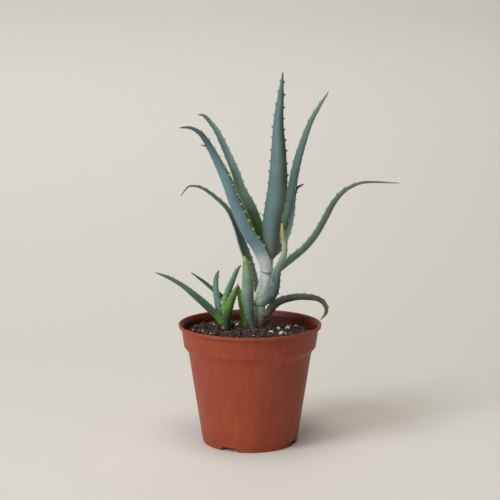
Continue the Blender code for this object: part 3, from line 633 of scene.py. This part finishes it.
def all_leaves():
    """Every leaf with its own skin; the order gives each its seed."""
    plan = {"leaf_drooping_right": (drooping_rows(), DROOPING_FACE)}
    for name, (share, face, points) in MAIN_LEAVES.items():
        plan[name] = (leaf_rows(stem_node(MAIN_STEM, STEM_HEIGHT, share), points), face)
    for name, (share, face, points) in OFFSET_LEAVES.items():
        plan[name] = (leaf_rows(stem_node(OFFSET_STEM, OFFSET_HEIGHT, share), points), face)
    (x, y), face, points = REAR_LEAF
    plan["offset_leaf_rear"] = (leaf_rows(Vector((x * MM, y * MM, SOIL_LEVEL)), points), face)
    for seed, (name, (rows, face)) in enumerate(plan.items()):
        slot = "fresh_leaf" if name.startswith("offset") else "blue_green_leaf"
        look = dict(LOOKS[name])
        shape = look.pop("shape")
        surface = leaf_material(name + "_surface", seed=seed * 1.7, **look)
        add_leaf(name, rows, face, surface, slot, seed, *shape)


# ---- stems ----
STEM_STEP = 0.0003
SHEATH_STEP = 0.00055       # how far a sheath's free edge stands off
SHEATH_LINE = 0.0005        # width of the green line under it


def add_stem(name, points, height, girth, sheaths, surface):
    """A stem wrapped in sheaths, each ending in a slanted free edge."""
    rows = [(points[0][0], points[0][1], (SOIL_LEVEL - STEM_BURIED) / MM)]
    rows += [(x, y, (SOIL_LEVEL + share * height) / MM) for x, y, share in points]
    knots = [(AXIS.x + x * MM, AXIS.y + y * MM, z * MM, 1.0) for x, y, z in rows]
    dense, lengths = dense_path(knots)
    count, around = int(lengths[-1] / STEM_STEP), 72
    verts, fields = [], {"sheath": [], "rise": []}
    for spot in path_at(dense, lengths, np.linspace(0, lengths[-1], count)):
        tall = (spot[2] - SOIL_LEVEL) / height
        base = MM * float(np.interp(tall, *zip(*girth)))
        for j in range(around):
            turn = 2 * math.pi * j / around
            right, front = math.sin(turn), math.cos(turn)
            lower, line, step = -0.2, 0.0, 0.0
            for share, towards, slant in sheaths:
                wave = 0.012 * noise.noise(Vector((front * 1.3, right * 1.3, share * 9)))
                edge = share + slant * math.cos(turn - math.radians(towards)) + wave
                if tall < edge:
                    part = (tall - lower) / max(0.02, edge - lower)
                    step = SHEATH_STEP * max(0.0, part) ** 1.5
                    line = math.exp(-((edge - tall) * height / SHEATH_LINE) ** 2)
                    break
                lower = edge
            rough = 0.00018 * noise.noise(Vector((front * 2, right * 2, spot[2] / 0.004)))
            out = np.array((right, -front, 0.0))
            verts.append(spot[:3] + out * (base + step - 0.0003 + rough))
            fields["sheath"].append(line)
            fields["rise"].append(tall)
    faces = tube_faces(count, around)
    faces.append(tuple(range(around - 1, -1, -1)))
    faces.append(tuple((count - 1) * around + j for j in range(around)))
    made = mesh_object(name + "_sheathed", verts, faces, surface, fields)
    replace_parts(made, name)


def stem_material(name, stops):
    """Pale stem, stained near the soil, with a green line under each sheath's edge."""
    n = Nodes(name)
    rise = n.field("rise")
    line = n.field("sheath")
    here = n.place()
    base = n.ramp(rise, [(place, rgb(*colour)) for place, colour in stops])
    streak = n.noise(n.place((1, 1, 0.22)), 700.0, 3.0, 0.6)
    tone = n.ramp(streak, [(0.3, 0.93), (0.5, 1.0), (0.7, 1.05)])
    base = n.mix(1.0, base, tone, "MULTIPLY")
    darkening = n.ramp(n.noise(here, 260.0, 3.0, 0.6), [(0.56, 0.0), (0.72, 1.0)])
    darkening = n.times(darkening, n.ramp(rise, [(0.1, 0.7), (0.3, 0.0)]))
    base = n.mix(darkening, base, rgb(126, 120, 84))
    base = n.mix(n.times(line, 0.7), base, rgb(104, 132, 96))
    n.set("Base Color", base)
    n.set("Roughness", 0.5)
    relief = n.bump(streak, 0.0002, 0.5)
    n.set("Normal", relief)
    n.set("Subsurface Weight", 0.12)
    n.set("Subsurface Radius", (0.9, 1.0, 0.7))
    n.set("Subsurface Scale", 0.0015)
    return n.material


# ---- soil ----
def soil_height(x, y):
    """The CAD soil's surface, x and y from the pot's axis."""
    right, back = (share * BAND_RADIUS for share in MOUND_PLACE)
    around = math.exp(-((x - right) ** 2 + (y - back) ** 2) / (MOUND_SPREAD * BAND_RADIUS) ** 2)
    tilt = (x + y) / BAND_RADIUS
    short = math.sin(x / SHORT_LUMPS[0] + 1.0) * math.cos(y / SHORT_LUMPS[1])
    long = math.sin(x / LONG_LUMPS[0] - y / LONG_LUMPS[1])
    mound = SOIL_MOUND * (around - MOUND_MEAN)
    return SOIL_LEVEL + mound - SOIL_TILT * tilt + SOIL_LUMPS * (short + 0.6 * long)


def inner_radius(z):
    """The pot's inside radius at a height."""
    if z >= BAND_BOTTOM:
        return BAND_RADIUS - BAND_TAPER * (BAND_TOP - z) / BAND_HEIGHT - WALL
    if z >= WALL_TOP:
        return WALL_RADIUS + (z - WALL_TOP) / SHOULDER_HEIGHT * SHOULDER_DEPTH - WALL
    return BASE_RADIUS + (WALL_RADIUS - BASE_RADIUS) * z / WALL_TOP - WALL


def crumbly(x, y):
    """Soil surface with clods and grains."""
    spot = Vector((x, y, 0))
    coarse = noise.noise(spot / 0.0052) * 0.0011
    middle = abs(noise.noise(spot / 0.0022 + Vector((7, 3, 1)))) * 0.0014
    fine = noise.noise(spot / 0.0009 + Vector((2, 9, 4))) * 0.0005
    return soil_height(x, y) + coarse + middle - 0.0004 + fine


def add_soil(surface):
    """The root ball: a plain underside and side, and a fine crumbly top out to the pot's wall."""
    around, rings = 300, 84
    turns = [2 * math.pi * j / around for j in range(around)]
    verts = []
    floor = FLOOR_TOP + CLEARANCE
    for z, inset in ((floor, FLOOR_FILLET), (floor + FLOOR_FILLET, 0), (WALL_TOP, 0), (BAND_BOTTOM, 0)):
        radius = inner_radius(z) - inset - CLEARANCE
        verts += [(AXIS.x + radius * math.sin(t), AXIS.y - radius * math.cos(t), z) for t in turns]
    for i in range(rings):
        share = 1 - i / rings
        for t in turns:
            x, y = math.sin(t), -math.cos(t)
            edge = inner_radius(SOIL_LEVEL) - CLEARANCE
            height = crumbly(x * edge * share, y * edge * share)
            if i == 0:
                edge = inner_radius(min(height, BAND_TOP)) - CLEARANCE
            verts.append((AXIS.x + x * edge * share, AXIS.y + y * edge * share, height))
    verts.append((AXIS.x, AXIS.y, crumbly(0, 0)))
    faces = [tuple(range(around - 1, -1, -1))] + tube_faces(rings + 4, around)
    last = (rings + 3) * around
    faces += [(last + j, last + (j + 1) % around, len(verts) - 1) for j in range(around)]
    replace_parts(mesh_object("soil_surface", verts, faces, surface), "soil")


def lump(bm, place, radius, level, dice, squeeze, dent, rough):
    """One irregular closed grain added to a bmesh."""
    made = bmesh.ops.create_icosphere(bm, subdivisions=level, radius=1.0)["verts"]
    shift = Vector([dice.uniform(0, 90) for _ in range(3)])
    look = Vector([dice.uniform(-1, 1) for _ in range(3)])
    turn = look.to_track_quat("Z", "Y")
    for vert in made:
        spot = vert.co.normalized()
        coarse = noise.noise(spot * 1.4 * rough + shift)
        fine = noise.noise(spot * 3.1 * rough + shift)
        size = 1 + dent * coarse + dent * 0.6 * fine
        vert.co = place + turn @ (Vector(p * q for p, q in zip(spot, squeeze)) * (size * radius))


def scattered(dice, reach):
    """A random place over the soil."""
    turn = dice.uniform(0, 2 * math.pi)
    radius = reach * math.sqrt(dice.random())
    return radius * math.cos(turn), radius * math.sin(turn)


def finish_bmesh(name, bm, surface, smooth=True):
    """A piece from a bmesh."""
    mesh = bpy.data.meshes.new(name)
    bm.to_mesh(mesh)
    bm.free()
    return piece(name, mesh, surface, smooth)


def add_crumbs(surface):
    """Loose crumbs over the soil, smaller near the pot's wall."""
    dice = random.Random(41)
    bm = bmesh.new()
    reach = inner_radius(SOIL_LEVEL) - 0.0012
    for _ in range(1500):
        x, y = scattered(dice, reach)
        size = 0.0005 + 0.0023 * dice.random() ** 2.4
        room = reach - math.hypot(x, y)
        size = min(size, 0.0004 + room * 0.8)
        place = AXIS + Vector((x, y, crumbly(x, y) + size * dice.uniform(-0.2, 0.45)))
        squeeze = (1, dice.uniform(0.6, 1), dice.uniform(0.5, 0.9))
        lump(bm, place, size, 2 if size > 0.0009 else 1, dice, squeeze, 0.45, 1.2)
    finish_bmesh("soil_crumbs", bm, surface, smooth=False)


def add_grit(surface):
    """Small loose perlite between the crumbs, thinner at the left."""
    dice = random.Random(8)
    bm = bmesh.new()
    reach = inner_radius(SOIL_LEVEL) - 0.0018
    for _ in range(150):
        x, y = scattered(dice, reach)
        size = 0.0004 + 0.0009 * dice.random() ** 2.6
        if x + y * 0.3 < -0.008 and dice.random() < 0.6:
            continue
        place = AXIS + Vector((x, y, crumbly(x, y) + size * dice.uniform(0.0, 0.5)))
        lump(bm, place, size, 2, dice, (1, dice.uniform(0.7, 1), dice.uniform(0.6, 1)), 0.5, 1.4)
    finish_bmesh("perlite_grit", bm, surface, smooth=False)


def add_perlite(surface):
    """The eight large lumps, each where the CAD has one and a little smaller."""
    dice = random.Random(5)
    for number in range(1, 9):
        name = "perlite_%d" % number
        low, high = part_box(name)
        middle = (low + high) / 2
        radius = (high.x - low.x) / 2
        bm = bmesh.new()
        middle.z -= radius * 0.12
        lump(bm, middle, radius * 0.86, 4, dice, (1.0, 0.90, 0.80), 0.34, 1.5)
        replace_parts(finish_bmesh(name + "_grain", bm, surface), name)


def add_fibres(surface):
    """Fine roots and splinters lying on the soil."""
    dice = random.Random(23)
    verts, faces = [], []
    reach = inner_radius(SOIL_LEVEL) - 0.006
    steps, around = 8, 5
    for _ in range(70):
        x, y = scattered(dice, reach)
        turn = dice.uniform(0, 2 * math.pi)
        bend = dice.uniform(-0.5, 0.5)
        length = dice.uniform(0.003, 0.009)
        radius = dice.uniform(0.00010, 0.00022)
        first = len(verts)
        for s in range(steps + 1):
            middle = AXIS + Vector((x, y, crumbly(x, y) + 0.0004 + 0.0006 * math.sin(math.pi * s / steps)))
            slim = radius * (0.4 + 0.6 * math.sin(math.pi * (0.1 + 0.8 * s / steps)))
            ahead = Vector((math.cos(turn), math.sin(turn), 0))
            side = Vector((-ahead.y, ahead.x, 0))
            for k in range(around):
                a = 2 * math.pi * k / around
                verts.append(middle + side * slim * math.cos(a) + Vector((0, 0, slim * math.sin(a))))
            x += ahead.x * length / steps
            y += ahead.y * length / steps
            turn += bend * 0.6
        faces += tube_faces(steps + 1, around, first)
        faces.append(tuple(first + k for k in (4, 3, 2, 1, 0)))
        faces.append(tuple(first + steps * around + k for k in range(around)))
    mesh_object("soil_fibres", verts, faces, surface)


def soil_material():
    n = Nodes("potting_soil_surface")
    here = n.place()
    grain = n.noise(here, 420.0, 6.0, 0.7)
    patch = n.noise(here, 90.0, 3.0, 0.6)
    colour = n.ramp(grain, [(0.30, rgb(32, 26, 25)), (0.50, rgb(68, 55, 52)), (0.72, rgb(118, 99, 95))])
    colour = n.mix(1.0, colour, n.ramp(patch, [(0.3, 0.65), (0.7, 1.25)]), "MULTIPLY")
    n.set("Base Color", colour)
    n.set("Roughness", 0.95)
    n.set("Specular IOR Level", 0.2)
    relief = n.bump(n.noise(here, 1300.0, 5.0, 0.75), 0.0005, 0.9)
    n.set("Normal", relief)
    return n.material


def perlite_material():
    n = Nodes("perlite_surface")
    here = n.place()
    pores = n.ramp(n.dots(here, 1500.0), [(0.08, 0.55), (0.35, 1.0)])
    dirt = n.ramp(n.noise(here, 420.0, 3.0, 0.6), [(0.50, 0.0), (0.72, 0.7)])
    # painted shade: the perlite is darker in its pores
    colour = n.mix(1.0, rgb(200, 199, 196), pores, "MULTIPLY")
    colour = n.mix(dirt, colour, rgb(150, 132, 110))
    n.set("Base Color", colour)
    n.set("Roughness", 0.9)
    n.set("Normal", n.bump(pores, 0.0003, 0.8))
    return n.material


def fibre_material():
    n = Nodes("root_fibre")
    tone = n.noise(n.place(), 600.0, 3.0, 0.6)
    n.set("Base Color", n.ramp(tone, [(0.3, rgb(84, 62, 42)), (0.7, rgb(168, 140, 104))]))
    n.set("Roughness", 0.85)
    return n.material


# ---- pot ----
def arc(centre_r, centre_z, radius, start, end, steps):
    """Points on a profile arc; 0 degrees is outward, 90 is up."""
    return [(centre_r + radius * math.cos(math.radians(start + (end - start) * i / steps)),
             centre_z + radius * math.sin(math.radians(start + (end - start) * i / steps)))
            for i in range(steps + 1)]


def line(a, b, steps):
    """Points from a to b, without a."""
    return [(a[0] + (b[0] - a[0]) * i / steps, a[1] + (b[1] - a[1]) * i / steps) for i in range(1, steps + 1)]


def pot_profile():
    """From the inner floor over the lip to the recess, and how many points are inside."""
    foot = BASE_RADIUS - FOOT_STEP
    recess = foot - FOOT_THICKNESS
    fillet = inner_radius(FLOOR_TOP) - FLOOR_FILLET
    band_low = BAND_RADIUS - BAND_TAPER * 0.94
    points = [(0.0, FLOOR_TOP)]
    points += line(points[-1], (fillet, FLOOR_TOP), 20)[:-1]
    points += arc(fillet, FLOOR_TOP + FLOOR_FILLET, FLOOR_FILLET, -90, 0, 4)
    points += line(points[-1], (WALL_RADIUS - WALL, WALL_TOP), 20)
    points += line(points[-1], (BAND_RADIUS - BAND_TAPER - WALL, BAND_BOTTOM), 3)
    points += line(points[-1], (BAND_RADIUS - WALL, BAND_TOP - EDGE), 8)
    points += line(points[-1], (RIM_RADIUS - LIP_EDGE, POT_HEIGHT - EDGE), 4)[:-1]
    inside = len(points)
    # lip
    points += arc(RIM_RADIUS - LIP_EDGE + EDGE, POT_HEIGHT - EDGE, EDGE, 170, 90, 4)
    points += arc(RIM_RADIUS - EDGE, POT_HEIGHT - EDGE, EDGE, 90, 0, 4)
    points += line(points[-1], (RIM_RADIUS - EDGE / 2, BAND_TOP + EDGE), 4)[:-1]
    points += arc(RIM_RADIUS - EDGE * 1.5, BAND_TOP + EDGE, EDGE, 0, -90, 4)
    points += [(BAND_RADIUS + EDGE, BAND_TOP - EDGE * 0.2), (BAND_RADIUS, BAND_TOP - EDGE)]
    # band, shoulder and wall
    points += line(points[-1], (band_low, BAND_BOTTOM + 0.001), 12)[:-1]
    points += arc(band_low - 0.0009, BAND_BOTTOM + 0.0010, 0.0009, 0, -70, 4)
    points += line(points[-1], (WALL_RADIUS + 0.0004, WALL_TOP + 0.0006), 4)
    points += [(WALL_RADIUS, WALL_TOP - 0.0002), (WALL_RADIUS - 0.0002, WALL_TOP - 0.0012)]
    points += line(points[-1], (BASE_RADIUS, FOOT_HEIGHT), 40)
    # foot ring and recess
    points += [(foot + 0.00015, FOOT_HEIGHT - 0.0001), (foot, FOOT_HEIGHT - 0.0004)]
    points += line(points[-1], (foot - 0.0002, 0.0006), 6)[:-1]
    points += arc(foot - 0.0008, 0.0006, 0.0006, 0, -90, 3)
    points += line(points[-1], (recess, 0.0), 4)
    points += line(points[-1], (recess - 0.0004, FLOOR_RISE), 6)
    points += line(points[-1], (0.0, FLOOR_RISE), 20)
    return points, inside


def notch_lift(turn):
    """How far the foot's edge is raised at an angle from the front, 0 to 1."""
    half = NOTCH_ANGLE / 2
    ramp = math.degrees(NOTCH_HEIGHT * 0.8 / BASE_RADIUS)
    for k in range(NOTCH_COUNT):
        centre = NOTCH_FIRST + k * 360 / NOTCH_COUNT
        off = abs((math.degrees(turn) - centre + 180) % 360 - 180)
        if off < half + 1:
            return min(1, (half + 1 - off) / (ramp + 1))
    return 0.0


def drained(pot):
    """Cuts the drain holes through the pot's floor."""
    holes = bmesh.new()
    for number in range(DRAIN_COUNT + 1):
        ring = DRAIN_RING * inner_radius(FLOOR_TOP) if number < DRAIN_COUNT else 0.0
        turn = math.radians(DRAIN_FIRST + 360 * number / DRAIN_COUNT)
        made = bmesh.ops.create_cone(holes, cap_ends=True, segments=32, radius1=DRAIN_RADIUS,
                                     radius2=DRAIN_RADIUS, depth=WALL * 4)["verts"]
        centre = AXIS + Vector((ring * math.sin(turn), ring * math.cos(turn), FLOOR_RISE + WALL / 2))
        for vert in made:
            vert.co += centre
    cutter_mesh = bpy.data.meshes.new("drain_cutter")
    holes.to_mesh(cutter_mesh)
    holes.free()
    cutter = bpy.data.objects.new("drain_cutter", cutter_mesh)
    bpy.context.scene.collection.objects.link(cutter)
    drains = pot.modifiers.new("drains", "BOOLEAN")
    drains.object = cutter
    drains.operation = "DIFFERENCE"
    drains.solver = "EXACT"
    bpy.context.view_layer.update()
    evaluated = pot.evaluated_get(bpy.context.evaluated_depsgraph_get())
    cut = bpy.data.meshes.new_from_object(evaluated)
    pot.modifiers.clear()
    old = pot.data
    pot.data = cut
    bpy.data.meshes.remove(old)
    bpy.data.objects.remove(cutter, do_unlink=True)


def add_pot(surface):
    """The pot turned from its profile, notched at the foot and drained."""
    around = 288
    profile, inside_count = pot_profile()
    verts = [(AXIS.x, AXIS.y, profile[0][1])]
    inside = [0.0]
    for i, (r, z) in enumerate(profile[1:-1], 1):
        on_foot = z < FOOT_HEIGHT * 0.95 and r > BASE_RADIUS - FOOT_THICKNESS * 2.2
        for j in range(around):
            turn = 2 * math.pi * j / around
            lift = notch_lift(turn) * max(0.0, NOTCH_HEIGHT - z) if on_foot else 0.0
            verts.append((AXIS.x + r * math.sin(turn), AXIS.y - r * math.cos(turn), z + lift))
            inside.append(1.0 if i < inside_count else 0.0)
    verts.append((AXIS.x, AXIS.y, profile[-1][1]))
    inside.append(0.0)
    rings = len(profile) - 2
    last = 1 + (rings - 1) * around
    faces = tube_faces(rings, around, 1)
    for j in range(around):
        k = (j + 1) % around
        faces += [(0, 1 + k, 1 + j), (last + j, last + k, len(verts) - 1)]
    pot = mesh_object("pot_body", verts, faces, surface, {"inside": inside})
    bm = bmesh.new()
    bm.from_mesh(pot.data)
    bmesh.ops.recalc_face_normals(bm, faces=bm.faces)
    bm.to_mesh(pot.data)
    bm.free()
    drained(pot)
    pot.data.shade_smooth()
    pot.data.set_sharp_from_angle(angle=math.radians(38))
    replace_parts(pot, "pot")


def pot_material():
    n = Nodes("terracotta_plastic")
    here = n.place()
    streak = n.noise(n.place((1, 1, 0.06)), 260.0, 4.0, 0.6)
    cloud = n.noise(here, 26.0, 3.0, 0.55)
    tone = n.plus(n.times(streak, 0.55), n.times(cloud, 0.45))
    base = n.ramp(tone, [(0.30, rgb(140, 58, 36)), (0.50, rgb(151, 66, 42)), (0.70, rgb(162, 76, 50))])
    # dust on upward faces and in specks
    up = n.add("ShaderNodeSeparateXYZ", Vector=n.add("ShaderNodeNewGeometry").outputs["Normal"]).outputs["Z"]
    dust = n.times(n.ramp(up, [(0.45, 0.0), (0.95, 1.0)]),
                  n.ramp(n.noise(here, 180.0, 5.0, 0.7), [(0.46, 0.0), (0.70, 0.16)]))
    base = n.mix(dust, base, rgb(140, 112, 90))
    specks = n.ramp(n.dots(here, 210.0), [(0.035, 1.0), (0.06, 0.0)])
    chance = n.ramp(n.noise(here, 60.0, 2.0), [(0.54, 0.0), (0.62, 0.5)])
    base = n.mix(n.times(specks, chance), base, rgb(196, 150, 124))
    inside = n.field("inside")
    # the whole inside is mixed 80 to 100 per cent towards a dark red-brown
    darkening = n.times(inside, n.ramp(n.noise(here, 150.0, 4.0, 0.6), [(0.3, 0.80), (0.7, 1.0)]))
    base = n.mix(darkening, base, rgb(62, 19, 13))
    n.set("Base Color", base)
    gloss = n.plus(0.40, n.times(n.noise(here, 140.0, 4.0, 0.65), 0.16))
    gloss = n.plus(gloss, n.times(dust, 0.3))
    n.set("Roughness", gloss)
    relief = n.bump(streak, 0.00035, 0.30)
    relief = n.bump(n.noise(here, 900.0, 3.0, 0.6), 0.00006, 0.5, relief)
    n.set("Normal", relief)
    n.set("Specular IOR Level", 0.30)
    return n.material


# ---- studio ----
def studio():
    """A seamless pale sweep, a broad soft light from the front left, and the camera."""
    scene = bpy.context.scene
    scene.view_settings.view_transform = "Standard"
    paper = Nodes("studio_sweep")
    paper.set("Base Color", (0.66, 0.652, 0.645))
    paper.set("Roughness", 0.9)
    paper.set("Specular IOR Level", 0.15)
    profile = [(-2.4, 0.0), (-1.0, 0.0), (0.34, 0.0)]
    bend_depth, bend_height = 0.90, 0.45
    for i in range(1, 25):
        turn = math.radians(90 * i / 24)
        profile.append((0.34 + bend_depth * math.sin(turn), bend_height * (1 - math.cos(turn))))
    profile.append((0.34 + bend_depth, 2.6))
    verts = [(x, y, z) for y, z in profile for x in (-0.9, 0.72)]
    faces = [(2 * i, 2 * i + 1, 2 * i + 3, 2 * i + 2) for i in range(len(profile) - 1)]
    mesh = bpy.data.meshes.new("studio_sweep")
    mesh.from_pydata(verts, [], faces)
    mesh.materials.append(paper.material)
    mesh.shade_smooth()
    sweep = bpy.data.objects.new("studio_sweep", mesh)
    scene.collection.objects.link(sweep)

    def area(name, place, aim, size, power, colour):
        light = bpy.data.lights.new(name, "AREA")
        light.shape = "RECTANGLE"
        light.size, light.size_y = size
        light.energy = power
        light.color = colour
        made = bpy.data.objects.new(name, light)
        made.location = place
        made.rotation_euler = (Vector(aim) - Vector(place)).to_track_quat("-Z", "Y").to_euler()
        scene.collection.objects.link(made)

    area("key", (-3.7, -2.6, 3.3), (0.0, 0.1, 0.12), (2.2, 2.2), 172.0, (0.98, 0.985, 1.0))
    area("front", (-1.5, -2.9, 1.2), (0.0, 0.0, 0.12), (1.6, 1.2), 28.0, (0.98, 0.96, 0.90))
    area("top", (-0.1, -0.35, 2.4), (0.05, -0.1, 0.0), (2.0, 1.4), 34.0, (1.0, 0.945, 0.79))

    world = bpy.data.worlds.new("studio_world")
    world.use_nodes = True
    world.node_tree.nodes["Background"].inputs["Color"].default_value = (1.0, 0.93, 0.80, 1.0)
    world.node_tree.nodes["Background"].inputs["Strength"].default_value = 0.07
    scene.world = world

    camera = bpy.data.cameras.new("camera")
    camera.lens = 86.4
    camera.sensor_width = 36.0
    camera.clip_start = 0.01
    view = bpy.data.objects.new("camera", camera)
    view.location = (AXIS.x, -1.0713, 0.3335)
    view.rotation_euler = (math.radians(90 - 8.361), 0.0, 0.0)
    scene.collection.objects.link(view)
    scene.camera = view


add_pot(pot_material())
soil_look = soil_material()
add_soil(soil_look)
add_crumbs(soil_look)
white = perlite_material()
add_grit(white)
add_perlite(white)
add_fibres(fibre_material())
# the main stem's middle is near white: partly its own pale colour, partly painted light lifting it out of the
# leaves' shade
add_stem("main_stem", MAIN_STEM, STEM_HEIGHT, MAIN_GIRTH, MAIN_SHEATHS, stem_material("aloe_stem", [
    (0.0, (116, 128, 78)), (0.10, (150, 160, 122)), (0.20, (214, 224, 206)), (0.32, (236, 252, 250)),
    (0.9, (240, 254, 255)), (1, (200, 216, 198))]))
add_stem("offset_stem", OFFSET_STEM, OFFSET_HEIGHT, OFFSET_GIRTH, OFFSET_SHEATHS,
         stem_material("offset_stem_surface", [(0.0, (150, 160, 110)), (1, (140, 170, 90))]))
all_leaves()
studio()

bpy.context.view_layer.update()
